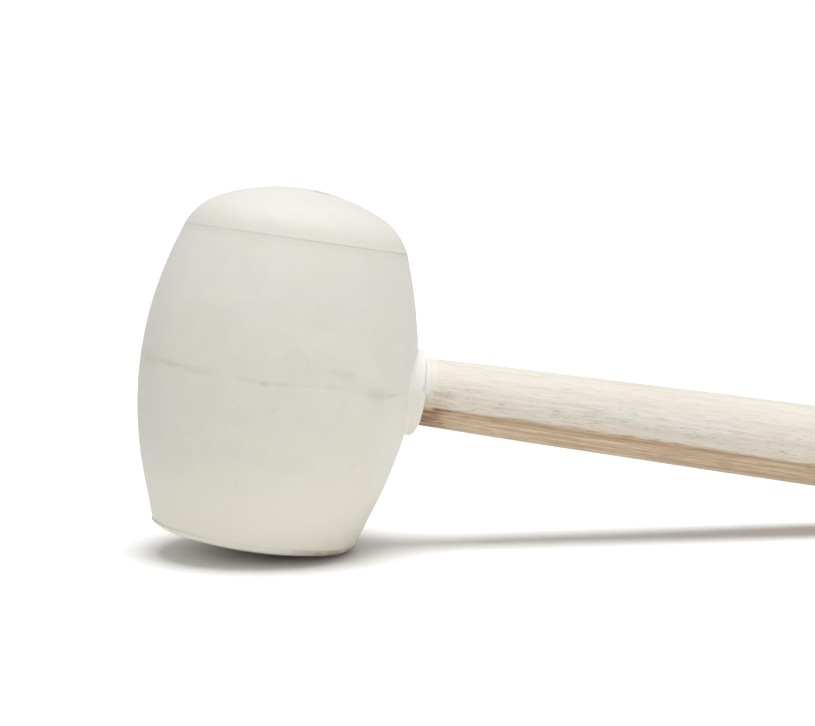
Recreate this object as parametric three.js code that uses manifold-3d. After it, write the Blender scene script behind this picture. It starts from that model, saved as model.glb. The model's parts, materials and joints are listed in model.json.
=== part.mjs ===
// A white rubber mallet: a barrel-shaped moulded head on a turned wooden handle, held by a blind wedge.
//
// Every piece is drawn in the head's own axes: the origin is where the handle's axis crosses the head's axis,
// +Z runs to the domed striking face and +X runs along the handle to its end. The whole mallet is then turned
// about Y into the pose that it lies in when it is put down, on the crown of its flatter face and on the end
// of its handle, with the origin on the floor under the middle of its bounding box. Millimetres, +Z up.

import * as THREE from "three";
import { mergeVertices } from "three/addons/utils/BufferGeometryUtils.js";
import Module from "manifold-3d";

// Head: a barrel between two mould seams, closed by a domed face above and a flatter face below
const BELLY_RADIUS = 47;
const BELLY_ARC_RADIUS = 125;
const TAPER_ANGLE = THREE.MathUtils.degToRad(18.6);
const DOME_SEAM_Z = 46.1;
const DOME_CORNER_RADIUS = 21;
const DOME_CROWN_RADIUS = 65.6;
const DOME_APEX_Z = 63.4;
const FACE_SEAM_Z = -55;
const FACE_CORNER_RADIUS = 3.1;
const FACE_CROWN_RADIUS = 138;
const FACE_APEX_Z = -61.3;

// Collar: the boss around the mouth of the socket, moulded a little below the axis of the handle
const COLLAR_RADIUS = 15.1;
const COLLAR_DROP = 0.6;
const COLLAR_FACE_X = 49.3;
const COLLAR_EDGE_RADIUS = 0.9;
const COLLAR_ROOT_X = 30;

// Handle: a slim neck that swells to the grip, and a rounded butt with a flat end
const NECK_RADIUS = 11.7;
const HANDLE_END_X = 320;
const BUTT_CORNER_RADIUS = 8;
const GRIP_RADIUS = 14.75;

// Tenon: the part of the handle inside the head, with glue grooves, a saw kerf and a wedge in the kerf
const TENON_RADIUS = 11.4;
const TENON_END_X = -24;
const TENON_CHAMFER = 1.2;
const GROOVE_COUNT = 4;
const GROOVE_FIRST_X = 12;
const GROOVE_PITCH = 8;
const GROOVE_WIDTH = 2;
const GROOVE_DEPTH = 0.6;
const KERF_ROOT_X = 6;
const KERF_WIDTH = 1.8;
const KERF_SPREAD = 1.3;
const WEDGE_TIP_X = 3;
const WEDGE_WIDTH = 18;

// Clearances
const FIT_GAP = 0.35;
const SOCKET_END_GAP = 0.8;

// Facets
const HEAD_SEGMENTS = 72;
const ROD_SEGMENTS = 36;
const BELLY_STEPS = 10;
const DOME_STEPS = 5;
const FACE_STEPS = 7;
const SWELL_STEPS = 14;
const EDGE_STEPS = 4;

const wasm = await Module();
wasm.setup();

// Turns a closed three.js geometry into a manifold-3d solid.
function solid(geometry) {
  const bare = geometry.clone();
  bare.deleteAttribute("normal");
  bare.deleteAttribute("uv");
  const merged = mergeVertices(bare.index ? bare.toNonIndexed() : bare, 1e-4);
  return new wasm.Manifold(new wasm.Mesh({
    numProp: 3,
    vertProperties: new Float32Array(merged.attributes.position.array),
    triVerts: new Uint32Array(merged.index.array),
  }));
}

// Turns a manifold-3d solid back into a three.js geometry.
function geometryOf(manifold) {
  const mesh = manifold.getMesh();
  const geometry = new THREE.BufferGeometry();
  geometry.setAttribute("position", new THREE.BufferAttribute(new Float32Array(mesh.vertProperties), 3));
  geometry.setIndex(new THREE.BufferAttribute(new Uint32Array(mesh.triVerts), 1));
  geometry.computeVertexNormals();
  return geometry;
}

// Points on an arc of an outline; the angle is counted from the outline's radial direction.
function arc(centre, radius, from, to, steps) {
  const points = [];
  for (let i = 0; i <= steps; i += 1) {
    const angle = from + (to - from) * (i / steps);
    points.push(new THREE.Vector2(
      centre.x + radius * Math.cos(angle),
      centre.y + radius * Math.sin(angle),
    ));
  }
  return points;
}

// A solid of revolution about +Z. Outline points are (radius, height), rising from the axis to the axis.
function turnedAboutZ(outline, segments) {
  return new THREE.LatheGeometry(outline, segments).rotateX(Math.PI / 2);
}

// A solid of revolution about +X. Outline points are (radius, distance along X), rising likewise.
function turnedAboutX(outline, segments) {
  return new THREE.LatheGeometry(outline, segments).rotateZ(-Math.PI / 2);
}

// Outline of a striking face from its seam to its apex: a rounded corner that runs smoothly into a crown.
// side is +1 for the face at the top of the head and -1 for the one at the bottom.
function strikingFace(seam, cornerRadius, crownRadius, apexZ, side, crownSteps) {
  const crownCentre = new THREE.Vector2(0, apexZ - side * crownRadius);
  const toSeam = seam.clone().sub(crownCentre);
  const distance = toSeam.length();
  const reach = crownRadius - cornerRadius;
  const along = (reach * reach - cornerRadius * cornerRadius + distance * distance) / (2 * distance);
  const aside = Math.sqrt(reach * reach - along * along);
  const direction = toSeam.clone().normalize();
  const cornerCentre = new THREE.Vector2(
    crownCentre.x + direction.x * along - side * direction.y * aside,
    crownCentre.y + direction.y * along + side * direction.x * aside,
  );
  const start = Math.atan2(seam.y - cornerCentre.y, seam.x - cornerCentre.x);
  const end = Math.atan2(cornerCentre.y - crownCentre.y, cornerCentre.x);
  const corner = arc(cornerCentre, cornerRadius, start, end, EDGE_STEPS + 2);
  const crown = arc(crownCentre, crownRadius, end, side * Math.PI / 2, crownSteps);
  crown[crown.length - 1].x = 0;
  return [...corner, ...crown.slice(1)];
}

// The barrel with its two striking faces.
function headBody() {
  const bellyCentre = new THREE.Vector2(BELLY_RADIUS - BELLY_ARC_RADIUS, 0);
  const belly = arc(bellyCentre, BELLY_ARC_RADIUS, -TAPER_ANGLE, TAPER_ANGLE, BELLY_STEPS);
  const shoulder = belly[belly.length - 1];
  const taper = Math.tan(TAPER_ANGLE);
  const domeSeam = new THREE.Vector2(shoulder.x - taper * (DOME_SEAM_Z - shoulder.y), DOME_SEAM_Z);
  const faceSeam = new THREE.Vector2(shoulder.x - taper * (-FACE_SEAM_Z - shoulder.y), FACE_SEAM_Z);
  const dome = strikingFace(domeSeam, DOME_CORNER_RADIUS, DOME_CROWN_RADIUS, DOME_APEX_Z, 1, DOME_STEPS);
  const face = strikingFace(faceSeam, FACE_CORNER_RADIUS, FACE_CROWN_RADIUS, FACE_APEX_Z, -1, FACE_STEPS);
  return turnedAboutZ([...face.reverse(), ...belly, ...dome], HEAD_SEGMENTS);
}

// The boss around the handle, buried in the barrel at its inner end.
function collar() {
  const edgeCentre = new THREE.Vector2(
    COLLAR_RADIUS - COLLAR_EDGE_RADIUS,
    COLLAR_FACE_X - COLLAR_EDGE_RADIUS,
  );
  const outline = [
    new THREE.Vector2(0, COLLAR_ROOT_X),
    new THREE.Vector2(COLLAR_RADIUS + COLLAR_EDGE_RADIUS, COLLAR_ROOT_X),
    ...arc(edgeCentre, COLLAR_EDGE_RADIUS, 0, Math.PI / 2, EDGE_STEPS),
    new THREE.Vector2(0, COLLAR_FACE_X),
  ];
  return turnedAboutX(outline, ROD_SEGMENTS).translate(0, 0, -COLLAR_DROP);
}

// Moves the two halves of a tenon or socket apart, from the kerf's root to the tenon's end.
function spreadHalves(geometry) {
  const position = geometry.attributes.position;
  for (let i = 0; i < position.count; i += 1) {
    const share = (KERF_ROOT_X - position.getX(i)) / (KERF_ROOT_X - TENON_END_X);
    const side = Math.abs(position.getY(i)) < 1e-3 ? 0 : Math.sign(position.getY(i));
    position.setY(i, position.getY(i) + side * KERF_SPREAD * Math.max(share, 0));
  }
  geometry.computeVertexNormals();
  return geometry;
}

// The blind hole for the tenon, as a solid to cut away: it follows the spread tenon and leaves by the collar.
function socket() {
  const radius = TENON_RADIUS + FIT_GAP;
  const outline = [
    new THREE.Vector2(0, TENON_END_X - SOCKET_END_GAP),
    new THREE.Vector2(radius - TENON_CHAMFER, TENON_END_X - SOCKET_END_GAP),
    new THREE.Vector2(radius, TENON_END_X - SOCKET_END_GAP + TENON_CHAMFER),
    new THREE.Vector2(radius, KERF_ROOT_X),
    new THREE.Vector2(radius, COLLAR_ROOT_X),
    new THREE.Vector2(NECK_RADIUS + FIT_GAP, COLLAR_FACE_X - TENON_CHAMFER),
    new THREE.Vector2(NECK_RADIUS + FIT_GAP, COLLAR_FACE_X + TENON_CHAMFER),
    new THREE.Vector2(0, COLLAR_FACE_X + TENON_CHAMFER),
  ];
  return spreadHalves(turnedAboutX(outline, ROD_SEGMENTS));
}

// Outline of the tenon from its end to the collar, with the glue grooves.
function tenonOutline() {
  const outline = [
    new THREE.Vector2(0, TENON_END_X),
    new THREE.Vector2(TENON_RADIUS - TENON_CHAMFER, TENON_END_X),
    new THREE.Vector2(TENON_RADIUS, TENON_END_X + TENON_CHAMFER),
    new THREE.Vector2(TENON_RADIUS, KERF_ROOT_X),
  ];
  for (let i = 0; i < GROOVE_COUNT; i += 1) {
    const x = GROOVE_FIRST_X + i * GROOVE_PITCH;
    outline.push(
      new THREE.Vector2(TENON_RADIUS, x - GROOVE_WIDTH / 2),
      new THREE.Vector2(TENON_RADIUS - GROOVE_DEPTH, x),
      new THREE.Vector2(TENON_RADIUS, x + GROOVE_WIDTH / 2),
    );
  }
  return outline;
}

// Outline of the handle outside the head: a smooth swell from the neck to the grip, then the rounded butt.
function gripOutline() {
  const swell = new THREE.SplineCurve([
    new THREE.Vector2(NECK_RADIUS, COLLAR_FACE_X),
    new THREE.Vector2(12.35, 70),
    new THREE.Vector2(13.1, 112),
    new THREE.Vector2(14.15, 172),
    new THREE.Vector2(GRIP_RADIUS, 235),
    new THREE.Vector2(GRIP_RADIUS - 0.1, 290),
    new THREE.Vector2(GRIP_RADIUS - 0.5, HANDLE_END_X - BUTT_CORNER_RADIUS),
  ]);
  const buttCentre = new THREE.Vector2(
    GRIP_RADIUS - 0.5 - BUTT_CORNER_RADIUS,
    HANDLE_END_X - BUTT_CORNER_RADIUS,
  );
  const butt = arc(buttCentre, BUTT_CORNER_RADIUS, 0, Math.PI / 2, EDGE_STEPS + 2);
  return [...swell.getPoints(SWELL_STEPS), ...butt.slice(1), new THREE.Vector2(0, HANDLE_END_X)];
}

// The turned handle: the grip, the neck and the tenon, whose saw kerf is spread by the wedge.
function handle() {
  const turned = solid(turnedAboutX([...tenonOutline(), ...gripOutline()], ROD_SEGMENTS));
  const kerfLength = KERF_ROOT_X - TENON_END_X + 1;
  const kerf = new THREE.BoxGeometry(kerfLength, KERF_WIDTH, 3 * TENON_RADIUS);
  kerf.translate(KERF_ROOT_X - kerfLength / 2, 0, 0);
  return spreadHalves(geometryOf(turned.subtract(solid(kerf))));
}

// The blind wedge: it fills the opened kerf, thick end at the bottom of the socket.
function foxWedge() {
  const halfThickness = (x) => {
    const share = (KERF_ROOT_X - x) / (KERF_ROOT_X - TENON_END_X);
    return KERF_WIDTH / 2 + KERF_SPREAD * share - FIT_GAP;
  };
  const outline = new THREE.Shape([
    new THREE.Vector2(TENON_END_X, -halfThickness(TENON_END_X)),
    new THREE.Vector2(WEDGE_TIP_X, -halfThickness(WEDGE_TIP_X)),
    new THREE.Vector2(WEDGE_TIP_X, halfThickness(WEDGE_TIP_X)),
    new THREE.Vector2(TENON_END_X, halfThickness(TENON_END_X)),
  ]);
  const wedge = new THREE.ExtrudeGeometry(outline, { depth: WEDGE_WIDTH, bevelEnabled: false });
  return wedge.translate(0, 0, -WEDGE_WIDTH / 2);
}

// Lowest height that a geometry reaches once it is turned by an angle about Y.
function lowestPoint(geometry, angle) {
  const position = geometry.attributes.position;
  let lowest = Infinity;
  for (let i = 0; i < position.count; i += 1) {
    lowest = Math.min(lowest, position.getZ(i) * Math.cos(angle) - position.getX(i) * Math.sin(angle));
  }
  return lowest;
}

// Angle about Y at which the head and the handle both touch the floor, found by halving an interval.
function lyingAngle(headGeometry, handleGeometry) {
  let low = 0;
  let high = Math.PI / 8;
  for (let i = 0; i < 50; i += 1) {
    const middle = (low + high) / 2;
    if (lowestPoint(handleGeometry, middle) > lowestPoint(headGeometry, middle)) low = middle;
    else high = middle;
  }
  return low;
}

function piece(name, geometry, colour, roughness) {
  const material = new THREE.MeshStandardMaterial({ color: colour, roughness, metalness: 0 });
  const mesh = new THREE.Mesh(geometry, material);
  mesh.name = name;
  return mesh;
}

const headGeometry = geometryOf(solid(headBody()).add(solid(collar())).subtract(solid(socket())));
const handleGeometry = handle();

const mallet = new THREE.Group();
mallet.add(piece("head", headGeometry, 0xdcd9cf, 0.62));
mallet.add(piece("handle", handleGeometry, 0xe0cdb4, 0.6));
mallet.add(piece("fox_wedge", foxWedge(), 0xb98e60, 0.75));

const angle = lyingAngle(headGeometry, handleGeometry);
mallet.rotation.y = angle;
mallet.position.z = -lowestPoint(headGeometry, angle);
const box = new THREE.Box3().setFromObject(mallet, true);
mallet.position.x = -(box.min.x + box.max.x) / 2;

const group = new THREE.Group();
group.add(mallet);

export default group;
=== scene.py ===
"""Looks for the white rubber mallet: a moulded head, a turned wooden handle, the floor, light and camera.

Shapes are drawn in the head's own axes, in millimetres: the origin is where the handle's axis crosses the
head's axis, +Z runs to the domed face and +X along the handle. LYING then lays them in the part's frame, in
metres.
"""

import json
import math

import bpy
import numpy as np
from mathutils import Matrix, Vector, noise


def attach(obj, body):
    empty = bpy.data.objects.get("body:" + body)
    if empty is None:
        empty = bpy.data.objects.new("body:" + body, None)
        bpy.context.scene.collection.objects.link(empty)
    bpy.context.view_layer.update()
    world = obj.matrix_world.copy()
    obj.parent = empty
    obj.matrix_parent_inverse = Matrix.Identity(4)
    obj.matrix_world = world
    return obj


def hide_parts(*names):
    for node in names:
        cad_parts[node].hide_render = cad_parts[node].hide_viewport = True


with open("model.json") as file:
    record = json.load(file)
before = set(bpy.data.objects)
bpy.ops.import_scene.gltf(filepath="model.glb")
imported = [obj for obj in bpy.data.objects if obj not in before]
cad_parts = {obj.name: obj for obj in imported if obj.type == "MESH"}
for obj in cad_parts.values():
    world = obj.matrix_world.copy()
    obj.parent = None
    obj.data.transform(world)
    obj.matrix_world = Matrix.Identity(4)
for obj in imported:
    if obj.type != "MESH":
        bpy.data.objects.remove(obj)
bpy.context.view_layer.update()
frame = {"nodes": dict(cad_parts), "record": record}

MM = 0.001

# Head outline: a belly arc that runs into straight tapers, and the corner and crown of each striking face
BELLY_RADIUS = 47.0
BELLY_ARC_RADIUS = 125.0
TAPER_ANGLE = math.radians(18.6)
DOME_SEAM_Z = 46.1
DOME_CORNER_RADIUS = 21.0
DOME_CROWN_RADIUS = 65.6
DOME_APEX_Z = 63.4
FACE_SEAM_Z = -55.0
FACE_CORNER_RADIUS = 3.1
FACE_CROWN_RADIUS = 138.0
FACE_APEX_Z = -61.3

# Flash at both face seams: its height, and its height on the side away from the handle
DOME_FLASH_HEIGHTS = (0.07, 0.0)
FACE_FLASH_HEIGHTS = (0.13, 0.4)

# The flat face's flash lies below its seam. The dome's is tilted: its rise at the head's axis, and per mm
FACE_FLASH_DROP = 0.25
DOME_FLASH_RISE = 0.1
DOME_FLASH_SLOPE_X = 0.007
DOME_FLASH_SLOPE_Y = -0.004

# Flash and the groove beside it, measured from the flash line towards the face, and the farthest they reach
FLASH_OFFSET = 0.45
FLASH_WIDTH = 0.32
SEAM_GROOVE_OFFSET = -0.1
SEAM_GROOVE_WIDTH = 0.18
FLASH_REACH = 3.0

# Collar and socket. The mould's upper half makes a dished, sharp-edged front, the lower half a rounded one
COLLAR_RADIUS = 15.1
COLLAR_DROP = 0.6
COLLAR_FACE_X = 49.3
COLLAR_FILLET = 1.0
UPPER_FACE_X = 48.75
UPPER_FACE_DISH = 1.0
LOWER_FACE_X = 49.85
LOWER_FACE_DROOP = 0.5
SHARP_EDGE_RADIUS = 0.25
SOFT_EDGE_RADIUS = 0.7
SOCKET_RADIUS = 11.75
SOCKET_END_X = -24.8
MOUTH_RADIUS = 11.8

# A nib stands out where the mould's halves meet, and above it a thin lip of rubber runs along the neck
NIB_LENGTH = 1.0
NIB_ANGLE = math.radians(2.5)
NIB_HALF_WIDTH = math.radians(2.2)
LIP_END_X = 51.9
LIP_THICKNESS = 0.17

# How far from the collar the barrel's skin rises and sinks
ROOT_REACH = 8.5

# Waves of the parting line at mid height: how many go round the head, their height, and their turn
PARTING_WAVES = ((7, 0.7, math.radians(-94)), (19, 0.2, 0.0))

# Smudges along it: angle round the head in degrees, height, half length, half height in mm, and strength
PARTING_SMUDGES = (
    (-162, 0.2, 13, 4.0, 0.16),
    (-147, 0.1, 10, 1.5, 0.22),
    (-130, -0.6, 9, 1.3, 0.22),
    (-101, -0.9, 2.3, 1.5, 0.34),
    (-94, -0.4, 7, 0.9, 0.14),
    (-70.5, 5.2, 7, 2.3, 0.18),
    (-74, 1.0, 4, 1.0, 0.14),
    (-50, -0.4, 9, 3.4, 0.24),
    (-42, -0.4, 8, 1.1, 0.26),
    (70, 0.6, 12, 1.4, 0.25),
    (128, -0.5, 7, 2.5, 0.2),
)

# Yellowed patches of the rubber, in the same form
YELLOWED_PATCHES = (
    (-150, 50, 9, 7, 0.6),
    (-125, 11, 7, 8, 0.45),
    (-118, 43, 9, 4, 0.35),
    (-83, 22, 13, 7, 0.6),
    (-78, 8, 17, 6, 0.45),
    (-58, 41, 7, 6, 0.45),
    (65, -20, 20, 12, 0.4),
    (140, 24, 15, 9, 0.4),
)

# Marks on the rubber: the rim of the flat face, grimed and with painted shade where it meets the floor, and
# the worn scuff on the dome
GRIMED_AND_SHADED_RIM_Z = -56.6
SCUFF_PLACE = Vector((5.8, -3.2, 62.6))
SCUFF_RADII = (6, 8, 4)

# Handle, with the (x, radius) knots of its swell from the neck to the grip
NECK_RADIUS = 11.7
HANDLE_END_X = 320.0
BUTT_CORNER_RADIUS = 8.0
BUTT_CORNER_X = HANDLE_END_X - BUTT_CORNER_RADIUS
GRIP_RADIUS = 14.75
BUTT_RADIUS = GRIP_RADIUS - 0.5
SWELL = (
    (COLLAR_FACE_X, NECK_RADIUS),
    (70, 12.35),
    (112, 13.1),
    (172, 14.15),
    (235, GRIP_RADIUS),
    (290, GRIP_RADIUS - 0.1),
    (BUTT_CORNER_X, BUTT_RADIUS),
)
TENON_RADIUS = 11.4
TENON_END_X = -24.0
TENON_CHAMFER = 1.2
GROOVE_COUNT = 4
GROOVE_FIRST_X = 12.0
GROOVE_PITCH = 8.0
GROOVE_WIDTH = 2.0
GROOVE_DEPTH = 0.6
KERF_ROOT_X = 6.0
KERF_WIDTH = 1.8
KERF_SPREAD = 1.3

# The tree's pith lies below the handle and runs slightly down along it. Heartwood is what lies near the pith
PITH_Y = 10.0
PITH_Z = -75.0
PITH_SLOPE = -0.0065
RING_PITCH = 1.9
HEARTWOOD_RADIUS = 74.45

# Mesh fineness, and the part of the head's grid that the collar's rings take the place of
HEAD_COLUMNS = 360
POLE_GAP = 0.6
COLLAR_HALF_COLUMNS = 27
COLLAR_HALF_HEIGHT = 22.0
ROOT_RINGS = 18
HANDLE_COLUMNS = 120
SWELL_ROWS = 150
BUTT_CORNER_ROWS = 16

# The butt mount gives the handle's end and direction, and from them the head's centre and lean
butt = next(m for m in frame["record"]["mounts"] if m["name"] == "butt_end")
handle_axis = Vector(butt["axis"]).normalized()
head_centre = Vector(butt["pos_m"]) - handle_axis * HANDLE_END_X * MM
lean = math.atan2(-handle_axis.z, handle_axis.x)
LYING = Matrix.Translation(head_centre) @ Matrix.Rotation(lean, 4, "Y")


def smoothstep(low, high, value):
    """0 below low, 1 above high, and a smooth step between."""
    share = np.clip((value - low) / (high - low), 0, 1)
    return share * share * (3 - 2 * share)


def bell(value, centre, width):
    """1 where the value is at the centre, falling smoothly to about a third a width away."""
    return np.exp(-(((value - centre) / width) ** 2))


def lumps(points, size, seed):
    """Smooth noise between about -1 and 1 at each point, with hills about size mm across."""
    offset = Vector((seed * 17.3, seed * -9.1, seed * 5.7))
    return np.array([noise.noise(Vector(p) / size + offset) for p in points])


def around(angles, cycles, seed):
    """Smooth noise from about -1 to 1 that closes on itself round the head, with about cycles hills."""
    radius = cycles / (2 * math.pi)
    return np.array([
        noise.noise(Vector((radius * math.cos(a), radius * math.sin(a), seed * 3.7))) for a in angles
    ])


def laid(points):
    """Points in mm in the head's axes as points in metres in the part's frame."""
    return np.asarray(points) * MM @ np.array(LYING.to_3x3()).T + np.array(head_centre)


def taken_up(points):
    """The way back: points in metres in the part's frame as points in mm in the head's axes."""
    return (np.asarray(points) - np.array(head_centre)) @ np.array(LYING.to_3x3()) / MM


def add_object(name, points, faces):
    """A mesh object from points in mm in the head's axes."""
    mesh = bpy.data.meshes.new(name)
    mesh.from_pydata(laid(points).tolist(), [], faces)
    piece = bpy.data.objects.new(name, mesh)
    bpy.context.scene.collection.objects.link(piece)
    return piece


def finish_piece(piece, material):
    """Smooths a piece's shading, and gives it its material and body."""
    piece.data.validate()
    piece.data.shade_smooth()
    piece.data.materials.clear()
    piece.data.materials.append(material)
    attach(piece, "root")


def grid_index(columns):
    """A function that gives the number of a grid's point from its row and column. Columns wrap round."""
    return lambda row, column: row * columns + column % columns


def turned(outline, ring, axis):
    """Rows of points: an outline of (distance from an axis, distance along it), turned round the axis."""
    return outline[:, 0, None, None] * ring + outline[:, 1, None, None] * np.array(axis)


# ---------------------------------------------------------------------------------------------- outlines


class Arc:
    """A convex stretch of an outline, in (radius, height)."""

    def __init__(self, centre, radius, start, end):
        self.centre = centre
        self.radius = radius
        self.start = start
        self.end = end
        self.length = radius * abs(end - start)

    def at(self, along):
        angle = self.start + (self.end - self.start) * along / self.length
        normal = np.array([math.cos(angle), math.sin(angle)])
        return self.centre + self.radius * normal, normal

    def reversed(self):
        return Arc(self.centre, self.radius, self.end, self.start)


class Line:
    """A straight stretch of an outline that rises, with the outside on its right."""

    def __init__(self, start, end):
        self.start = start
        self.length = math.dist(start, end)
        self.direction = (end - start) / self.length

    def at(self, along):
        normal = np.array([self.direction[1], -self.direction[0]])
        return self.start + self.direction * along, normal


def striking_face(seam, corner_radius, crown_radius, apex_z, side):
    """The corner and crown of a face, from its seam to its apex.

    side is 1 for the dome and -1 for the flat face.
    """
    crown_centre = np.array([0.0, apex_z - side * crown_radius])
    to_seam = seam - crown_centre
    distance = np.linalg.norm(to_seam)
    reach = crown_radius - corner_radius
    along = (reach**2 - corner_radius**2 + distance**2) / (2 * distance)
    aside = math.sqrt(reach**2 - along**2)
    ahead = to_seam / distance
    corner_centre = crown_centre + ahead * along + side * aside * np.array([-ahead[1], ahead[0]])
    start = math.atan2(seam[1] - corner_centre[1], seam[0] - corner_centre[0])
    end = math.atan2(corner_centre[1] - crown_centre[1], corner_centre[0])
    corner = Arc(corner_centre, corner_radius, start, end)
    crown = Arc(crown_centre, crown_radius, end, side * math.pi / 2)
    return corner, crown


def head_outline():
    """The stretches of the head's outline, from the flat face's apex up to the dome's."""
    belly_centre = np.array([BELLY_RADIUS - BELLY_ARC_RADIUS, 0.0])
    belly = Arc(belly_centre, BELLY_ARC_RADIUS, -TAPER_ANGLE, TAPER_ANGLE)
    low, _ = belly.at(0)
    high, _ = belly.at(belly.length)
    taper = math.tan(TAPER_ANGLE)
    face_seam = np.array([low[0] - taper * (low[1] - FACE_SEAM_Z), FACE_SEAM_Z])
    dome_seam = np.array([high[0] - taper * (DOME_SEAM_Z - high[1]), DOME_SEAM_Z])
    face = striking_face(face_seam, FACE_CORNER_RADIUS, FACE_CROWN_RADIUS, FACE_APEX_Z, -1)
    dome = striking_face(dome_seam, DOME_CORNER_RADIUS, DOME_CROWN_RADIUS, DOME_APEX_Z, 1)
    return {
        "face_crown": face[1].reversed(),
        "face_corner": face[0].reversed(),
        "low_taper": Line(face_seam, low),
        "belly": belly,
        "high_taper": Line(high, dome_seam),
        "dome_corner": dome[0],
        "dome_crown": dome[1],
    }


def distances_to_ends(outline):
    """How far along the outline each of its stretches ends."""
    return dict(zip(outline, np.cumsum([part.length for part in outline.values()])))


def trace(outline, distances):
    """Points and outward normals on an outline at the given distances along it."""
    parts = list(outline.values())
    points, normals = [], []
    for s in distances:
        for part in parts:
            if s <= part.length or part is parts[-1]:
                break
            s -= part.length
        point, normal = part.at(min(s, part.length))
        points.append(point)
        normals.append(normal)
    return np.array(points), np.array(normals)


# -------------------------------------------------------------------------------------------------- head


def parting_height(angles):
    """Height of the wavy parting line between the two halves of the mould."""
    return sum(height * np.sin(count * angles + turn) for count, height, turn in PARTING_WAVES)


def seam_bead(distance, angles, heights, seed):
    """Raised flash with a groove beside it. distance is measured from the flash line towards the face.

    heights are the flash's height, and its height on the side away from the handle.
    """
    height, far_height = heights
    far = bell(angles, math.pi, math.radians(28))
    strength = (height + (far_height - height) * far) * (0.8 + 0.7 * around(angles, 40, seed))
    wandering = distance + 0.08 * around(angles, 25, seed + 1)
    flash = bell(wandering, FLASH_OFFSET, FLASH_WIDTH)
    groove = bell(wandering, SEAM_GROOVE_OFFSET, SEAM_GROOVE_WIDTH)
    return strength * (flash - 0.5 * groove)


def skin_relief(points):
    """Height in mm of the skin above the plain outline: swells, the parting step and the collar's root."""
    swells = 0.10 * lumps(points, 22, seed=3)
    swells += 0.035 * lumps(points, 7, seed=4)
    swells += 0.012 * lumps(points, 2.4, seed=5)
    angles = np.arctan2(points[:, 1], points[:, 0])
    above = points[:, 2] - parting_height(angles)
    ridge = 0.04 * bell(above, 0, 0.45)
    step = 0.05 * smoothstep(-0.4, 0.4, above) * bell(above, 0, 3)
    return swells + ridge - step + np.where(points[:, 0] > 0, collar_root(points), 0)


def collar_root(points):
    """Height in mm of the skin round the collar: raised above and below it, and slightly sunk beside it."""
    from_axis = np.maximum(np.hypot(points[:, 1], points[:, 2]), 1)
    sine = points[:, 2] / from_axis
    upper = smoothstep(-0.12, 0.12, sine)
    beside = -0.3 - 0.45 * upper
    rise = 0.9 + 0.6 * upper
    height = beside + rise * smoothstep(0.3 * upper, 1, sine**2)
    return height * bell(from_axis, COLLAR_RADIUS, ROOT_REACH)


def head_rows(ends):
    """Distances along the outline of the mesh rows: finest beside the seams, and fine at the corners."""
    face_seam = ends["face_corner"]
    dome_flash = ends["high_taper"] + DOME_FLASH_RISE
    beside = 1.3
    # Where each stretch starts, and how many rows it has
    stops_and_rows = (
        (POLE_GAP, 20),
        (ends["face_crown"], 12),
        (face_seam - beside, 27),
        (face_seam + beside, 120),
        (dome_flash - beside, 27),
        (dome_flash + beside, 18),
        (ends["dome_corner"], 30),
        (ends["dome_crown"] - POLE_GAP, 0),
    )
    stretches = [
        np.linspace(start, end, rows) for (start, rows), (end, _) in zip(stops_and_rows, stops_and_rows[1:])
    ]
    return np.unique(np.concatenate(stretches).round(6))


def head_grid():
    """The turned head as a grid of points, with the relief of its skin and flash, and each row's height."""
    outline = head_outline()
    ends = distances_to_ends(outline)
    distances = head_rows(ends)
    points, normals = trace(outline, distances)
    angles = np.arange(HEAD_COLUMNS) * 2 * math.pi / HEAD_COLUMNS
    ring = np.stack([np.cos(angles), np.sin(angles), 0 * angles], 1)
    grid = turned(points, ring, (0, 0, 1.0))
    relief = skin_relief(grid.reshape(-1, 3)).reshape(grid.shape[:2])
    for row, distance in enumerate(distances):
        past_dome_seam = distance - ends["high_taper"]
        past_face_seam = ends["face_corner"] - distance
        if abs(past_dome_seam) < FLASH_REACH:
            x, y, _ = grid[row].T
            rise = DOME_FLASH_RISE + DOME_FLASH_SLOPE_X * x + DOME_FLASH_SLOPE_Y * y
            relief[row] += seam_bead(past_dome_seam - rise, angles, DOME_FLASH_HEIGHTS, seed=11)
        if abs(past_face_seam) < FLASH_REACH:
            relief[row] += seam_bead(past_face_seam - FACE_FLASH_DROP, angles, FACE_FLASH_HEIGHTS, seed=21)
    return grid + relief[..., None] * turned(normals, ring, (0, 0, 1.0)), points[:, 1]


def ring_points(angle, radius, x, drop=0.0):
    """A ring of points round the handle's axis, or round a line that runs lower by drop."""
    return np.stack([x + 0 * angle, radius * np.cos(angle), radius * np.sin(angle) - drop], 1)


def belly_radius_at(z):
    """The barrel's radius at a height, on the belly's arc."""
    return BELLY_RADIUS - BELLY_ARC_RADIUS + np.sqrt(BELLY_ARC_RADIUS**2 - z**2)


def root_rings(border, angle):
    """Rings on the belly's skin that turn the border of the window into the foot of the collar's fillet."""
    rings = []
    foot = ring_points(angle, COLLAR_RADIUS + COLLAR_FILLET, 0, COLLAR_DROP)
    for i in range(1, ROOT_RINGS + 1):
        share = 1 - (i / ROOT_RINGS) ** 0.7
        _, y, z = (border * share + foot * (1 - share)).T
        points = np.stack([np.sqrt(belly_radius_at(z) ** 2 - y**2), y, z], 1)
        outward = points * np.array([1, 1, 0.4])
        outward /= np.linalg.norm(outward, axis=1)[:, None]
        rings.append(points + skin_relief(points)[:, None] * outward)
    return rings


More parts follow.
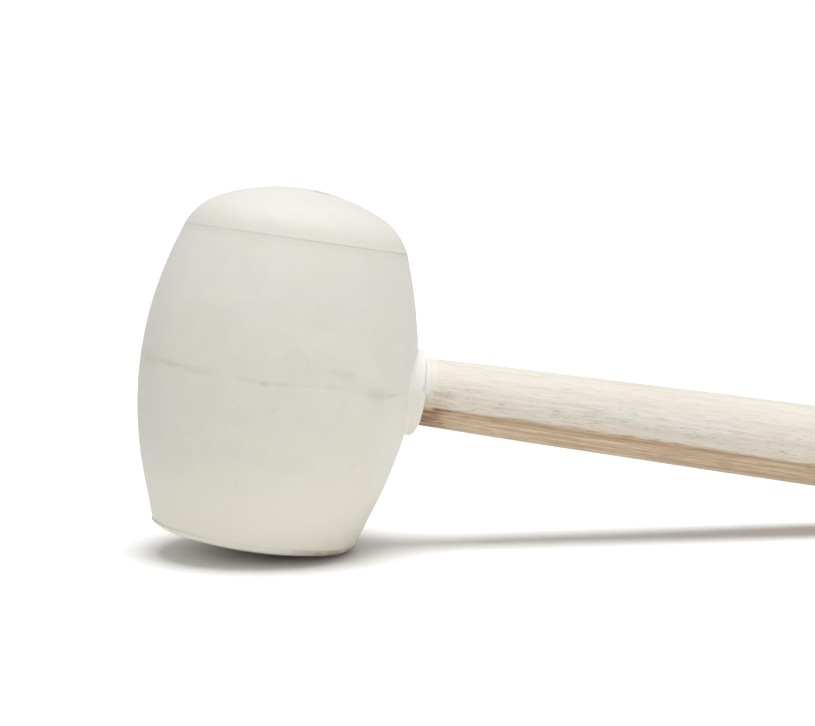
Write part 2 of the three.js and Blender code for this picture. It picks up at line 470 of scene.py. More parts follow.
def collar_rings(border):
    """Rings of points from the border of the window in the head's grid to the bottom of the socket."""
    angle = np.arctan2(border[:, 2] + COLLAR_DROP, border[:, 1])
    sine = np.sin(angle)
    upper = smoothstep(-0.015, 0.035, sine)
    ragged = around(angle, 30, seed=31)
    droop = LOWER_FACE_DROOP * smoothstep(0.6, 0.95, -sine)
    front = upper * (UPPER_FACE_X + UPPER_FACE_DISH * sine**2) + (1 - upper) * (LOWER_FACE_X - droop)
    front += 0.10 * ragged
    rings = root_rings(border, angle)

    fillet_foot = rings[-1][:, 0]
    for turn in np.linspace(0, math.pi / 2, 6)[1:]:
        radius = COLLAR_RADIUS + COLLAR_FILLET * (1 - math.sin(turn))
        x = fillet_foot + COLLAR_FILLET * (1 - math.cos(turn))
        rings.append(ring_points(angle, radius, x, COLLAR_DROP))

    fillet_top = fillet_foot + COLLAR_FILLET
    edge = SHARP_EDGE_RADIUS * upper + SOFT_EDGE_RADIUS * (1 - upper)
    wall_top = front - edge
    for share in (0.25, 0.5, 0.75, 1):
        radius = COLLAR_RADIUS + 0.04 * ragged * share
        rings.append(ring_points(angle, radius, fillet_top + (wall_top - fillet_top) * share, COLLAR_DROP))

    nib = NIB_LENGTH * bell(np.arcsin(sine), NIB_ANGLE, NIB_HALF_WIDTH)
    for turn in np.linspace(0, math.pi / 2, 7)[1:]:
        radius = COLLAR_RADIUS + 0.04 * ragged - edge * (1 - math.cos(turn))
        rings.append(ring_points(angle, radius, wall_top + (edge + nib) * math.sin(turn), COLLAR_DROP))
    return rings + lip_rings(angle, upper, front) + socket_rings(angle)


def lip_rings(angle, upper, front):
    """Rings across the collar's front and, on its upper half, out along the lip and back into the mouth."""
    outer = MOUTH_RADIUS + LIP_THICKNESS
    rim = COLLAR_RADIUS - SOFT_EDGE_RADIUS
    rings = []
    for share in (0.2, 0.45, 0.7, 0.9):
        radius = rim + (outer + 0.1 - rim) * share
        rings.append(ring_points(angle, radius, front, COLLAR_DROP * (1 - share)))
    length = LIP_END_X + 0.5 * around(angle, 12, seed=32) + 0.3 * around(angle, 45, seed=33) - front
    rings.append(ring_points(angle, outer, front + 0.15 * upper))
    rings.append(ring_points(angle, outer, front + length * 0.5 * upper))
    rings.append(ring_points(angle, outer - 0.02, front + (length - 0.15) * upper))
    rings.append(ring_points(angle, outer - 0.1, front + length * upper))
    rings.append(ring_points(angle, MOUTH_RADIUS, front + (length - 0.1) * upper - 0.2 * (1 - upper)))
    return rings


def socket_rings(angle):
    """Rings down the socket's wall to its bottom, spread where the tenon's halves are."""
    wall = [COLLAR_FACE_X - 2, 40.0, 30.0, 18.0, KERF_ROOT_X]
    spread_wall = [-9.0, SOCKET_END_X + TENON_CHAMFER]
    rings = [ring_points(angle, SOCKET_RADIUS, x) for x in wall + spread_wall]
    rings.append(ring_points(angle, SOCKET_RADIUS - TENON_CHAMFER, SOCKET_END_X))
    rings.append(ring_points(angle, SOCKET_RADIUS * 0.5, SOCKET_END_X))
    for points in rings[len(wall):]:
        spread_halves(points)
    return rings


def spread_halves(points):
    """Moves the two halves of the tenon or socket apart, from the kerf's root to the tenon's end."""
    share = np.clip((KERF_ROOT_X - points[:, 0]) / (KERF_ROOT_X - TENON_END_X), 0, None)
    points[:, 1] += np.where(np.abs(points[:, 1]) < 1e-3, 0, np.sign(points[:, 1])) * KERF_SPREAD * share


def head_faces(index, rows, bottom, top):
    """Quads of the head's grid, with a window left open for the collar."""
    faces = []
    for row in range(rows - 1):
        for column in range(HEAD_COLUMNS):
            from_front = (column + HEAD_COLUMNS // 2) % HEAD_COLUMNS - HEAD_COLUMNS // 2
            if bottom <= row < top and -COLLAR_HALF_COLUMNS <= from_front < COLLAR_HALF_COLUMNS:
                continue
            lower = (index(row, column), index(row, column + 1))
            upper = (index(row + 1, column + 1), index(row + 1, column))
            faces.append(lower + upper)
    return faces


def window_border(index, bottom, top):
    """The numbers of the points round the window, in order."""
    half = COLLAR_HALF_COLUMNS
    border = [index(bottom, column) for column in range(-half, half)]
    border += [index(row, half) for row in range(bottom, top)]
    border += [index(top, column) for column in range(half, -half, -1)]
    border += [index(row, -half) for row in range(top, bottom, -1)]
    return border


def head_mesh():
    """Points and faces of the moulded head: a turned grid with the collar and its socket grown into it."""
    grid, heights = head_grid()
    rows = len(grid)
    window = [row for row in range(rows) if abs(heights[row]) < COLLAR_HALF_HEIGHT]
    bottom, top = window[0], window[-1]
    index = grid_index(HEAD_COLUMNS)
    faces = head_faces(index, rows, bottom, top)

    points = [*map(tuple, grid.reshape(-1, 3))]
    south = len(points)
    north = south + 1
    points += [(0, 0, FACE_APEX_Z), (0, 0, DOME_APEX_Z)]
    for column in range(HEAD_COLUMNS):
        faces.append((south, index(0, column + 1), index(0, column)))
        faces.append((north, index(rows - 1, column), index(rows - 1, column + 1)))

    previous = window_border(index, bottom, top)
    count = len(previous)
    for ring in collar_rings(np.array([points[i] for i in previous])):
        current = list(range(len(points), len(points) + count))
        points += [*map(tuple, ring)]
        for i in range(count):
            j = (i + 1) % count
            faces.append((previous[i], previous[j], current[j], current[i]))
        previous = current
    socket_bottom = len(points)
    points.append((SOCKET_END_X, 0, 0))
    faces += [(previous[i], previous[(i + 1) % count], socket_bottom) for i in range(count)]
    return points, faces


# ------------------------------------------------------------------------------------------------ handle


def smooth_curve(knots, at):
    """A smooth curve through (x, radius) knots, by cubic pieces with averaged slopes."""
    x, r = np.array(knots).T
    slope = np.gradient(r, x)
    i = np.clip(np.searchsorted(x, at) - 1, 0, len(x) - 2)
    h = x[i + 1] - x[i]
    t = (at - x[i]) / h
    return (
        (2 * t**3 - 3 * t**2 + 1) * r[i] + (t**3 - 2 * t**2 + t) * h * slope[i]
        + (-2 * t**3 + 3 * t**2) * r[i + 1] + (t**3 - t**2) * h * slope[i + 1]
    )


def handle_outline():
    """(radius, x) from the tenon's end to the butt."""
    outline = [(TENON_RADIUS - TENON_CHAMFER, TENON_END_X), (TENON_RADIUS, TENON_END_X + TENON_CHAMFER)]
    outline += [(TENON_RADIUS, x) for x in (-15.0, -5.0, KERF_ROOT_X)]
    for i in range(GROOVE_COUNT):
        x = GROOVE_FIRST_X + i * GROOVE_PITCH
        outline.append((TENON_RADIUS, x - GROOVE_WIDTH / 2))
        outline.append((TENON_RADIUS - GROOVE_DEPTH, x))
        outline.append((TENON_RADIUS, x + GROOVE_WIDTH / 2))
    at = np.linspace(COLLAR_FACE_X, BUTT_CORNER_X, SWELL_ROWS)
    outline += [*zip(smooth_curve(SWELL, at), at)]
    for i in range(1, BUTT_CORNER_ROWS + 1):
        turn = math.pi / 2 * i / BUTT_CORNER_ROWS
        outline.append((
            BUTT_RADIUS - BUTT_CORNER_RADIUS * (1 - math.cos(turn)),
            BUTT_CORNER_X + BUTT_CORNER_RADIUS * math.sin(turn),
        ))
    flat_radius = BUTT_RADIUS - BUTT_CORNER_RADIUS
    outline += [(flat_radius * share, HANDLE_END_X) for share in (0.75, 0.5, 0.25)]
    return np.array(outline)


def handle_mesh():
    """Points and faces of the turned handle, before its kerf is sawn."""
    outline = handle_outline()
    angles = np.arange(HANDLE_COLUMNS) * 2 * math.pi / HANDLE_COLUMNS
    ring = np.stack([0 * angles, np.cos(angles), np.sin(angles)], 1)
    grid = turned(outline, ring, (1.0, 0, 0))
    outside = smoothstep(COLLAR_FACE_X - 1, COLLAR_FACE_X + 12, outline[:, 1])
    before_butt = 1 - smoothstep(BUTT_CORNER_X, HANDLE_END_X, outline[:, 1])
    drawn_out = grid.reshape(-1, 3) * np.array([0.25, 1, 1])
    swells = 0.10 * lumps(drawn_out, 11, seed=31) + 0.03 * lumps(drawn_out, 4, seed=32)
    relief = swells.reshape(grid.shape[:2]) * (outside * before_butt)[:, None]
    grid += relief[..., None] * ring
    points = [*map(tuple, grid.reshape(-1, 3))]
    rows = len(outline)

    index = grid_index(HANDLE_COLUMNS)
    faces = [
        (index(r, c), index(r + 1, c), index(r + 1, c + 1), index(r, c + 1))
        for r in range(rows - 1)
        for c in range(HANDLE_COLUMNS)
    ]
    inner = len(points)
    outer = inner + 1
    points += [(TENON_END_X, 0, 0), (HANDLE_END_X, 0, 0)]
    for c in range(HANDLE_COLUMNS):
        faces.append((inner, index(0, c), index(0, c + 1)))
        faces.append((outer, index(rows - 1, c + 1), index(rows - 1, c)))
    return points, faces


def saw_kerf(piece):
    """Cuts the kerf in the tenon and spreads its halves."""
    corners = [
        (x, y, z)
        for x in (TENON_END_X - 1, KERF_ROOT_X)
        for y in (-KERF_WIDTH / 2, KERF_WIDTH / 2)
        for z in (-1.5 * TENON_RADIUS, 1.5 * TENON_RADIUS)
    ]
    quads = [(0, 1, 3, 2), (4, 6, 7, 5), (0, 4, 5, 1), (2, 3, 7, 6), (0, 2, 6, 4), (1, 5, 7, 3)]
    blade = add_object("kerf", corners, quads)
    cut = piece.modifiers.new("kerf", "BOOLEAN")
    cut.operation = "DIFFERENCE"
    cut.solver = "EXACT"
    cut.object = blade
    bpy.context.view_layer.update()
    sawn = bpy.data.meshes.new_from_object(piece.evaluated_get(bpy.context.evaluated_depsgraph_get()))
    piece.modifiers.clear()
    piece.data = sawn
    bpy.data.objects.remove(blade)
    points = taken_up([vertex.co for vertex in sawn.vertices])
    spread_halves(points)
    sawn.vertices.foreach_set("co", laid(points).astype(np.float32).ravel())
    sawn.update()


# --------------------------------------------------------------------------------------------- materials


def srgb(red, green, blue):
    """A display colour from 0 to 255 as the linear colour that Blender takes."""
    channel = [c / 255 for c in (red, green, blue)]
    return (*[c / 12.92 if c <= 0.04045 else ((c + 0.055) / 1.055) ** 2.4 for c in channel], 1.0)


class Shader:
    """A material whose node tree is built by short calls. Arguments may be numbers, colours or sockets.

    place is a point of the surface in the head's axes, in mm.
    """

    def __init__(self, name):
        self.material = bpy.data.materials.new(name)
        self.material.use_nodes = True
        self.tree = self.material.node_tree
        self.surface = self.tree.nodes["Principled BSDF"]
        part_frame = self.tree.nodes.new("ShaderNodeTexCoord")
        local = self.tree.nodes.new("ShaderNodeMapping")
        local.vector_type = "TEXTURE"
        local.inputs["Location"].default_value = head_centre
        local.inputs["Rotation"].default_value = (0, lean, 0)
        local.inputs["Scale"].default_value = (MM, MM, MM)
        self.tree.links.new(part_frame.outputs["Object"], local.inputs["Vector"])
        self.place = local.outputs["Vector"]

    def put(self, socket, value):
        """Links a socket to a value from another node, or sets it to a constant."""
        if isinstance(value, bpy.types.NodeSocket):
            self.tree.links.new(value, socket)
        else:
            socket.default_value = value

    def set(self, name, value):
        self.put(self.surface.inputs[name], value)

    def vector_maths(self, operation, vector, other=(0, 0, 0)):
        node = self.tree.nodes.new("ShaderNodeVectorMath")
        node.operation = operation
        self.put(node.inputs[0], vector)
        node.inputs[1].default_value = other
        return node.outputs

    def scaled(self, vector, factors):
        return self.vector_maths("MULTIPLY", vector, factors)[0]

    def shifted(self, vector, offset):
        return self.vector_maths("ADD", vector, offset)[0]

    def length(self, vector):
        return self.vector_maths("LENGTH", vector)["Value"]

    def parts(self, vector):
        node = self.tree.nodes.new("ShaderNodeSeparateXYZ")
        self.put(node.inputs[0], vector)
        return node.outputs

    def joined(self, x, y, z):
        node = self.tree.nodes.new("ShaderNodeCombineXYZ")
        for socket, value in zip(node.inputs, (x, y, z)):
            self.put(socket, value)
        return node.outputs[0]

    def maths(self, operation, a, b=0.0, c=0.0):
        node = self.tree.nodes.new("ShaderNodeMath")
        node.operation = operation
        for socket, value in zip(node.inputs, (a, b, c)):
            self.put(socket, value)
        return node.outputs[0]

    def product(self, first, *others):
        for other in others:
            first = self.maths("MULTIPLY", first, other)
        return first

    def multiple_and(self, value, factor, added):
        """value times factor, plus added."""
        return self.maths("MULTIPLY_ADD", value, factor, added)

    def gap(self, a, b):
        """How far apart two values are."""
        return self.maths("ABSOLUTE", self.maths("SUBTRACT", a, b))

    def span(self, value, low, high, to_low=0.0, to_high=1.0, smooth=True):
        """to_low where the value is at low, to_high where it is at high, and held beyond both."""
        node = self.tree.nodes.new("ShaderNodeMapRange")
        node.interpolation_type = "SMOOTHSTEP" if smooth else "LINEAR"
        for socket, number in zip(node.inputs, (value, low, high, to_low, to_high)):
            self.put(socket, number)
        return node.outputs[0]

    def noise(self, vector, size, detail=2.0, roughness=0.5):
        """Cloud noise from about 0 to 1, with hills about size mm across."""
        node = self.tree.nodes.new("ShaderNodeTexNoise")
        self.put(node.inputs["Vector"], vector)
        node.inputs["Scale"].default_value = 1 / size
        node.inputs["Detail"].default_value = detail
        node.inputs["Roughness"].default_value = roughness
        return node.outputs["Fac"]

    def streaks(self, pace, size, detail=2.0, roughness=0.5, place=None):
        """Cloud noise drawn out along x, where it changes at this pace, against 1 across."""
        drawn_out = self.scaled(self.place if place is None else place, (pace, 1, 1))
        return self.noise(drawn_out, size, detail, roughness)

    def mix(self, share, a, b):
        """Colour a turned into colour b by a share. The numbers are those of the node's colour sockets."""
        node = self.tree.nodes.new("ShaderNodeMix")
        node.data_type = "RGBA"
        self.put(node.inputs[0], share)
        self.put(node.inputs[6], a)
        self.put(node.inputs[7], b)
        return node.outputs[2]

    def tint(self, colour, tone, *shares):
        """The colour mixed towards a display tone by the product of the shares."""
        return self.mix(self.product(*shares), colour, srgb(*tone))

    def bump(self, height, distance, strength):
        """Fine relief of this height, where 1 stands for the distance in mm."""
        node = self.tree.nodes.new("ShaderNodeBump")
        node.inputs["Strength"].default_value = strength
        node.inputs["Distance"].default_value = distance * MM
        self.put(node.inputs["Height"], height)
        self.set("Normal", node.outputs[0])


def rubber_material():
    """Off-white moulded rubber, drifting in tone, with grime and painted shade at the mould's seams, painted
    light and shade on its sides, and a few marks of use.
    """
    s = Shader("white_rubber")
    colour = rubber_body(s)
    for layer in (side_tones_with_painted_light, collar_tones, seam_grime_and_painted_shade, parting_grime, rubber_wear_and_contact_shade):
        colour = layer(s, colour)
    s.set("Base Color", colour)
    s.set("Roughness", s.span(s.noise(s.place, 5, 3), 0.3, 0.7, 0.6, 0.72, smooth=False))
    s.set("Specular IOR Level", 0.3)
    s.bump(s.noise(s.place, 0.9, 3, 0.6), 0.03, 0.4)
    return s.material


def rubber_body(s):
    """The rubber's own colour: greyer with height, with patches, yellowed spots, mottling and fine grain."""
    x, _, z = s.parts(s.place)
    drifting = s.maths("ADD", z, s.product(s.noise(s.place, 30, 2), 50))
    colour = s.mix(s.span(drifting, 0, 60), srgb(215, 213, 200), srgb(215, 212, 206))
    on_dome = s.product(s.span(z, DOME_SEAM_Z, DOME_SEAM_Z + 4), s.span(x, -34, -18))
    patches = s.span(s.noise(s.place, 24, 3), 0.5, 0.72)
    colour = s.tint(colour, (211, 210, 192), patches, s.span(on_dome, 0, 1, 0.3, 0.1, smooth=False))
    colour = s.tint(colour, (217, 214, 212), on_dome, 0.6)
    yellowed = cover(s, YELLOWED_PATCHES, s.noise(s.place, 8, 4, 0.6))
    colour = s.tint(colour, (211, 210, 189), yellowed)
    mottling = s.span(s.noise(s.place, 7, 4, 0.6), 0.35, 0.7)
    colour = s.tint(colour, (205, 202, 193), mottling, 0.3)
    grain = s.span(s.noise(s.place, 0.7, 2), 0.3, 0.7)
    return s.tint(colour, (200, 198, 188), grain, 0.12)


def side_tones_with_painted_light(s, colour):
    """Broad tones: painted shade above the collar, greyer and with painted shade at the far end, and painted
    light low down and by the collar.
    """
    x, _, z = s.parts(s.place)
    # Painted shade over the front above the collar
    colour = s.tint(colour, (206, 204, 195), s.span(x, -22, 26), s.span(z, 8, 36), 0.5)
    colour = s.tint(colour, (212, 212, 207), s.span(x, -28, -44), s.span(z, 0, -14), 0.6)
    # Painted shade on the far end, away from the handle
    colour = s.tint(colour, (203, 202, 195), s.span(x, -33, -46, 0.0, 0.5))
    # Painted light on the barrel towards the collar, stronger lower down
    colour = s.tint(colour, (226, 225, 219), s.span(x, 28, 44), s.span(z, 24, -12, 0.25, 0.7))
    # Painted light low down, standing for light bounced up from the floor
    return s.tint(colour, (225, 222, 208), s.span(z, -22, -58), 0.8)


def collar_tones(s, colour):
    """Painted light on the collar and the skin round it, the lip along the neck, and painted shade in the
    crease behind the lip.
    """
    x, y, z = s.parts(s.place)
    from_axis = s.length(s.joined(0.0, y, z))
    # Painted light: the collar and the barrel's skin round it are mixed towards lighter tones
    painted_light_round_collar = s.product(
        s.span(from_axis, COLLAR_RADIUS + 0.4, 28, 1.0, 0.0),
        s.span(x, 32, 46, 0.35, 1.0),
        s.span(x, 20, 34),
    )
    tone = s.mix(s.span(z, -4, 4), srgb(220, 218, 207), srgb(221, 220, 213))
    tone = s.tint(tone, (225, 220, 210), s.span(z, -6, -12))
    colour = s.mix(painted_light_round_collar, colour, tone)
    on_lip = s.span(from_axis, MOUTH_RADIUS + 0.9, MOUTH_RADIUS + 0.4)
    past_face = s.span(x, UPPER_FACE_X + 0.15, UPPER_FACE_X + 0.65)
    colour = s.tint(colour, (214, 212, 199), on_lip, past_face, 0.3)
    # Painted shade in the crease where the lip leaves the collar's dished front, on its upper half
    dished_face_x = s.multiple_and(s.product(z, z), 1 / MOUTH_RADIUS**2, UPPER_FACE_X + 0.4)
    painted_crease_shade = s.span(s.gap(x, dished_face_x), 0.2, 0.7, 1.0, 0.0)
    by_lip = s.span(from_axis, MOUTH_RADIUS + 1.0, MOUTH_RADIUS + 0.4)
    return s.tint(colour, (170, 165, 148), painted_crease_shade, s.span(z, -1, 1), by_lip, 0.2)


def seam_grime_and_painted_shade(s, colour):
    """A belt of painted shade round the dome just above its seam, yellower in places, and a thin line of
    grime with painted shade in the groove of each face seam.

    Each line is faintest at one x, given with it, and darker to both sides.
    """
    x, y, z = s.parts(s.place)
    # Painted shade: a darker belt just above the dome's seam, yellower in places
    painted_shade_belt = s.span(s.gap(z, DOME_SEAM_Z + 1.8), 0.8, 5.5, 0.75, 0.0)
    yellower = s.span(s.noise(s.place, 16, 2), 0.35, 0.65)
    colour = s.mix(painted_shade_belt, colour, s.mix(yellower, srgb(206, 203, 197), srgb(206, 205, 193)))
    levelled = s.multiple_and(x, -DOME_FLASH_SLOPE_X, z)
    levelled = s.multiple_and(y, -DOME_FLASH_SLOPE_Y, levelled)
    dome_groove_z = DOME_SEAM_Z + DOME_FLASH_RISE + SEAM_GROOVE_OFFSET
    face_groove_z = FACE_SEAM_Z - FACE_FLASH_DROP - SEAM_GROOVE_OFFSET
    for height, groove_z, clean_x in ((levelled, dome_groove_z, -22), (z, face_groove_z, -8)):
        # Each groove's dark line is grime together with painted shade in the groove
        line = s.span(s.gap(height, groove_z), 0.06, 0.32, 1.0, 0.0)
        patchy = s.span(s.noise(s.place, 9, 3), 0.3, 0.7, 0.3, 1.0)
        grime_and_shade = s.span(s.gap(x, clean_x), 4, 32, 0.14, 0.4)
        colour = s.tint(colour, (150, 142, 118), line, patchy, grime_and_shade)
    return colour


def parting_grime(s, colour):
    """Grime along the wavy parting line: a faint, broken line and the smudges of PARTING_SMUDGES."""
    x, y, z = s.parts(s.place)
    angle = s.maths("ARCTAN2", y, x)
    height = s.span(s.noise(s.place, 5, 3), 0.2, 0.8, -0.6, 0.6, smooth=False)
    for count, tall, turn in PARTING_WAVES:
        wave = s.maths("SINE", s.multiple_and(angle, count, turn))
        height = s.multiple_and(wave, tall, height)
    line = s.span(s.gap(z, height), 0.1, 0.8, 1.0, 0.0)
    broken = s.span(s.noise(s.place, 13, 3), 0.38, 0.66, 0.15, 1.0)
    colour = s.tint(colour, (168, 164, 140), line, broken, 0.13)
    strands = s.noise(s.scaled(s.place, (0.6, 0.6, 3)), 3, 4, 0.6)
    return s.tint(colour, (172, 168, 144), cover(s, PARTING_SMUDGES, strands))


def cover(s, spots, ragged):
    """How strongly a table of spots covers each place of the head. The noise in ragged frays their edges."""
    x, y, z = s.parts(s.place)
    around_head = s.joined(s.maths("ARCTAN2", y, x), 0.0, z)
    covered = 0.0
    for degrees, centre_z, half_length, half_height, strength in spots:
        offset = s.shifted(around_head, (-math.radians(degrees), 0, -centre_z))
        offset = s.scaled(offset, (BELLY_RADIUS / half_length, 1, 1 / half_height))
        away = s.multiple_and(ragged, 0.9, s.length(offset))
        covered = s.maths("MAXIMUM", covered, s.span(away, 0.55, 1.5, strength, 0.0))
    return covered


def rubber_wear_and_contact_shade(s, colour):
    """The browner rim of the flat face towards the handle, grimed and with painted shade where it meets the
    floor, the dome's scuff, and fine specks.
    """
    x, _, z = s.parts(s.place)
    blotches = s.span(s.noise(s.place, 8, 3), 0.3, 0.7)
    # Browner grime and painted shade on the flat face's rim near the floor
    colour = s.tint(colour, (196, 180, 158), s.span(z, -46, -57), s.span(x, 5, 30), blotches, 0.4)
    # A darker band of grime with painted shade along the rim where it meets the floor
    rim_grime_and_contact_shade = s.span(s.gap(z, GRIMED_AND_SHADED_RIM_Z), 0.9, 2.2, 0.62, 0.0)
    broken = s.span(s.noise(s.place, 3, 4, 0.6), 0.3, 0.55, 0.4, 1.0)
    colour = s.tint(colour, (146, 134, 112), rim_grime_and_contact_shade, s.span(x, 2, 24), broken)
    from_scuff = s.scaled(s.shifted(s.place, -SCUFF_PLACE), [1 / radius for radius in SCUFF_RADII])
    scratches = s.span(s.streaks(0.4, 1.8, 4, 0.7), 0.3, 0.7, -0.6, 0.6, smooth=False)
    away = s.maths("ADD", s.length(from_scuff), scratches)
    colour = s.tint(colour, (168, 155, 150), s.span(away, 0.2, 1.2, 0.85, 0.0))
    specks = s.span(s.noise(s.place, 1.7, 1), 0.72, 0.78)
    return s.tint(colour, (160, 154, 138), specks, 0.16)


class Grain:
    """What the handle's colours share: rings, the heartwood's reach, fibre, streaks, flecks and stain."""

    def __init__(self, s):
        x, y, z = s.parts(s.place)
        above_pith = s.multiple_and(x, -PITH_SLOPE, s.maths("ADD", z, -PITH_Z))
        from_pith = s.length(s.joined(0.0, s.maths("ADD", y, -PITH_Y), above_pith))
        wander = s.noise(s.scaled(s.place, (0.02, 0.15, 0.15)), 3, 2)
        ring = s.maths("ADD", from_pith, s.span(wander, 0.2, 0.8, -1.2, 1.2, smooth=False))
        self.fibre = s.streaks(0.05, 0.45, 4, 0.7)
        self.streak = s.streaks(0.03, 1.6, 4, 0.65)
        self.fleck = s.streaks(0.14, 1.1, 3, 0.6)
        self.ring_wave = s.maths("SINE", s.product(ring, 2 * math.pi / RING_PITCH))
        frayed = s.span(self.fibre, 0.25, 0.75, -1.0, 1.0, smooth=False)
        self.into_heart = s.maths("ADD", s.maths("SUBTRACT", HEARTWOOD_RADIUS, ring), frayed)
        ragged_x = s.multiple_and(s.streaks(0.5, 1.6, 3), 16, x)
        self.stained = s.span(ragged_x, 61, 71, 1.0, 0.0)


def wood_material():
    """Pale, unvarnished hardwood, with brown heartwood along the underside."""
    s = Shader("handle_wood")
    grain = Grain(s)
    in_heart = s.span(grain.into_heart, -0.7, 0.5)
    colour = s.mix(in_heart, sapwood(s, grain), heartwood(s, grain))
    colour = rubber_residue(s, colour)
    colour = cut_end(s, colour, grain)
    s.set("Base Color", colour)
    s.set("Roughness", s.span(grain.fibre, 0.3, 0.7, 0.5, 0.66, smooth=False))
    s.set("Specular IOR Level", 0.3)
    s.bump(grain.fibre, 0.05, 0.5)
    return s.material


def sapwood(s, grain):
    """Pale wood with pinker streaks and faint rings, browner above and below, and stained by the collar."""
    x, y, z = s.parts(s.place)
    colour = s.mix(s.span(grain.streak, 0.35, 0.65), srgb(223, 221, 212), srgb(214, 210, 200))
    pinker = s.span(s.streaks(0.15, 5, 3), 0.46, 0.66)
    colour = s.tint(colour, (224, 208, 198), pinker, 0.5)
    colour = s.tint(colour, (188, 174, 158), s.span(grain.ring_wave, 0.2, 1.0, 0.0, 0.14))
    colour = s.tint(colour, (186, 172, 158), s.span(grain.fibre, 0.46, 0.7, 0.0, 0.34))
    colour = s.tint(colour, (184, 166, 150), s.span(grain.fleck, 0.52, 0.66, 0.0, 0.26))
    colour = s.tint(colour, (206, 197, 186), s.span(z, 1, 9, 0.0, 0.42))
    colour = s.tint(colour, (201, 187, 164), s.span(z, 4, -7, 0.0, 0.52))

    sloping = s.joined(x, y, s.multiple_and(x, -0.035, z))
    crowded = s.span(z, 8, -1, 0.25, 1.0)
    pores = s.span(s.streaks(0.09, 0.42, 1, place=sloping), 0.6, 0.7)
    dashes = s.span(s.streaks(0.16, 0.75, 2, place=sloping), 0.63, 0.72)
    colour = s.tint(colour, (162, 146, 130), pores, crowded, 0.32)
    colour = s.tint(colour, (158, 136, 120), dashes, crowded, 0.42)
    stained_flecks = s.product(grain.stained, s.span(z, 5, 0), s.span(grain.fleck, 0.35, 0.55))
    return s.tint(colour, (172, 148, 116), stained_flecks, 0.6)


def heartwood(s, grain):
    """Brown banded wood with a darker, streaky edge, and deeply stained by the collar."""
    x, _, _ = s.parts(s.place)
    band = s.streaks(0.02, 0.9, 3, 0.6)
    colour = s.mix(s.span(band, 0.36, 0.64), srgb(208, 190, 165), srgb(178, 154, 126))
    colour = s.tint(colour, (158, 130, 100), s.span(grain.fibre, 0.42, 0.68, 0.0, 0.5))
    colour = s.tint(colour, (150, 118, 92), s.span(grain.fleck, 0.5, 0.64, 0.0, 0.3))
    edge = s.product(
        s.span(s.gap(grain.into_heart, 1.1), 0.2, 2.2, 1.0, 0.0),
        s.span(grain.streak, 0.38, 0.62, 0.25, 0.62),
        s.span(x, 70, 140, 0.6, 1.15),
    )
    colour = s.tint(colour, (152, 122, 92), edge)
    deep = s.maths("MAXIMUM", s.span(band, 0.4, 0.6, 0.5, 0.9), s.product(edge, 2.4))
    return s.tint(colour, (122, 82, 54), grain.stained, deep)


def rubber_residue(s, colour):
    """A smear of rubber on the neck, as far as the lip reaches: white above and pale brown lower down."""
    x, _, z = s.parts(s.place)
    ragged_x = s.multiple_and(s.noise(s.place, 4, 3), -6, x)
    smear = s.product(s.span(ragged_x, LIP_END_X - 3, LIP_END_X, 0.8, 0.0), s.span(z, -5.8, -4.2))
    return s.mix(smear, colour, s.mix(s.span(z, -3, 1), srgb(205, 188, 164), srgb(216, 214, 202)))


def cut_end(s, colour, grain):
    """The darker end grain of the butt, with its growth rings."""
    x, _, _ = s.parts(s.place)
    cut = s.span(x, HANDLE_END_X - 5, HANDLE_END_X - 0.5)
    colour = s.tint(colour, (186, 164, 136), cut, 0.45)
    return s.tint(colour, (138, 112, 84), cut, s.span(grain.ring_wave, -0.3, 1.0, 0.0, 0.4))


def wedge_material():
    """The darker hardwood of the blind wedge, with its grain along the handle."""
    s = Shader("wedge_wood")
    grain = s.streaks(0.06, 1.2, 3)
    s.set("Base Color", s.mix(s.span(grain, 0.35, 0.65), srgb(176, 138, 98), srgb(146, 106, 70)))
    s.set("Roughness", 0.7)
    s.bump(grain, 0.05, 0.5)
    return s.material


# ----------------------------------------------------------------------------------- floor, light, camera


def add_floor():
    """A plain pale floor, far wider than the view."""
    reach = 6.0
    corners = [(-reach, -reach, 0), (reach, -reach, 0), (reach, reach, 0), (-reach, reach, 0)]
    mesh = bpy.data.meshes.new("floor")
    mesh.from_pydata(corners, [], [(0, 1, 2, 3)])
    floor = bpy.data.objects.new("floor", mesh)
    bpy.context.scene.collection.objects.link(floor)
    s = Shader("floor")
    s.set("Base Color", (0.93, 0.93, 0.93, 1))
    s.set("Roughness", 0.9)
    s.set("Specular IOR Level", 0.1)
    mesh.materials.append(s.material)


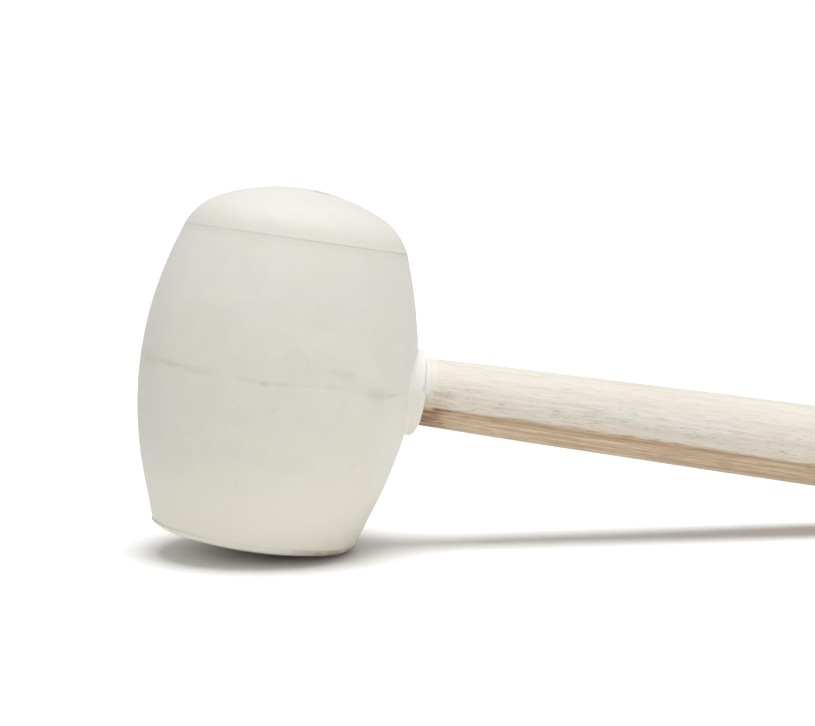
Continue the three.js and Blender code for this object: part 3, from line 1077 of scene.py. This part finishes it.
def add_softbox(name, towards, width, brightness):
    """A distant softbox. towards is the direction from the mallet to it, and width its angle in degrees."""
    data = bpy.data.lights.new(name, "SUN")
    data.angle = math.radians(width)
    data.energy = brightness * math.pi
    lamp = bpy.data.objects.new(name, data)
    lamp.rotation_euler = Vector(towards).to_track_quat("Z", "Y").to_euler()
    bpy.context.scene.collection.objects.link(lamp)


def light_studio():
    """White surroundings, dimmed for everything but the camera's own view of them, and two softboxes."""
    lighting_strength = 0.405
    seen_strength = 1.0
    world = bpy.data.worlds.new("studio")
    world.use_nodes = True
    tree = world.node_tree
    surroundings = tree.nodes["Background"]
    surroundings.inputs["Color"].default_value = (1, 1, 1, 1)
    rays = tree.nodes.new("ShaderNodeLightPath")
    strength = tree.nodes.new("ShaderNodeMapRange")
    strength.inputs["To Min"].default_value = lighting_strength
    strength.inputs["To Max"].default_value = seen_strength
    tree.links.new(rays.outputs["Is Camera Ray"], strength.inputs["Value"])
    tree.links.new(strength.outputs["Result"], surroundings.inputs["Strength"])
    bpy.context.scene.world = world
    add_softbox("overhead", towards=(0.03, -0.06, 1), width=34, brightness=0.905)
    add_softbox("front", towards=(0.75, -1, 0.08), width=80, brightness=0.218)
    bpy.context.scene.view_settings.view_transform = "Standard"


def add_camera():
    """A long lens, a little above the mallet, looking slightly down and towards the handle's side."""
    from_head = Vector((-65.8, -642.1, 60.7)) * MM
    down, roll, aside = math.radians(5.13), math.radians(0.09), math.radians(9.84)
    data = bpy.data.cameras.new("camera")
    data.sensor_width = 36
    data.lens = 83.0
    camera = bpy.data.objects.new("camera", data)
    camera.location = head_centre + from_head
    camera.rotation_euler = (math.pi / 2 - down, roll, -aside)
    bpy.context.scene.collection.objects.link(camera)
    bpy.context.scene.camera = camera


# ----------------------------------------------------------------------------------------------- assembly

add_camera()

head = add_object("moulded_head", *head_mesh())
finish_piece(head, rubber_material())
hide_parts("head")

handle = add_object("turned_handle", *handle_mesh())
saw_kerf(handle)
finish_piece(handle, wood_material())
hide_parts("handle")

wedge = frame["nodes"]["fox_wedge"]
wedge.data.materials.clear()
wedge.data.materials.append(wedge_material())

add_floor()
light_studio()
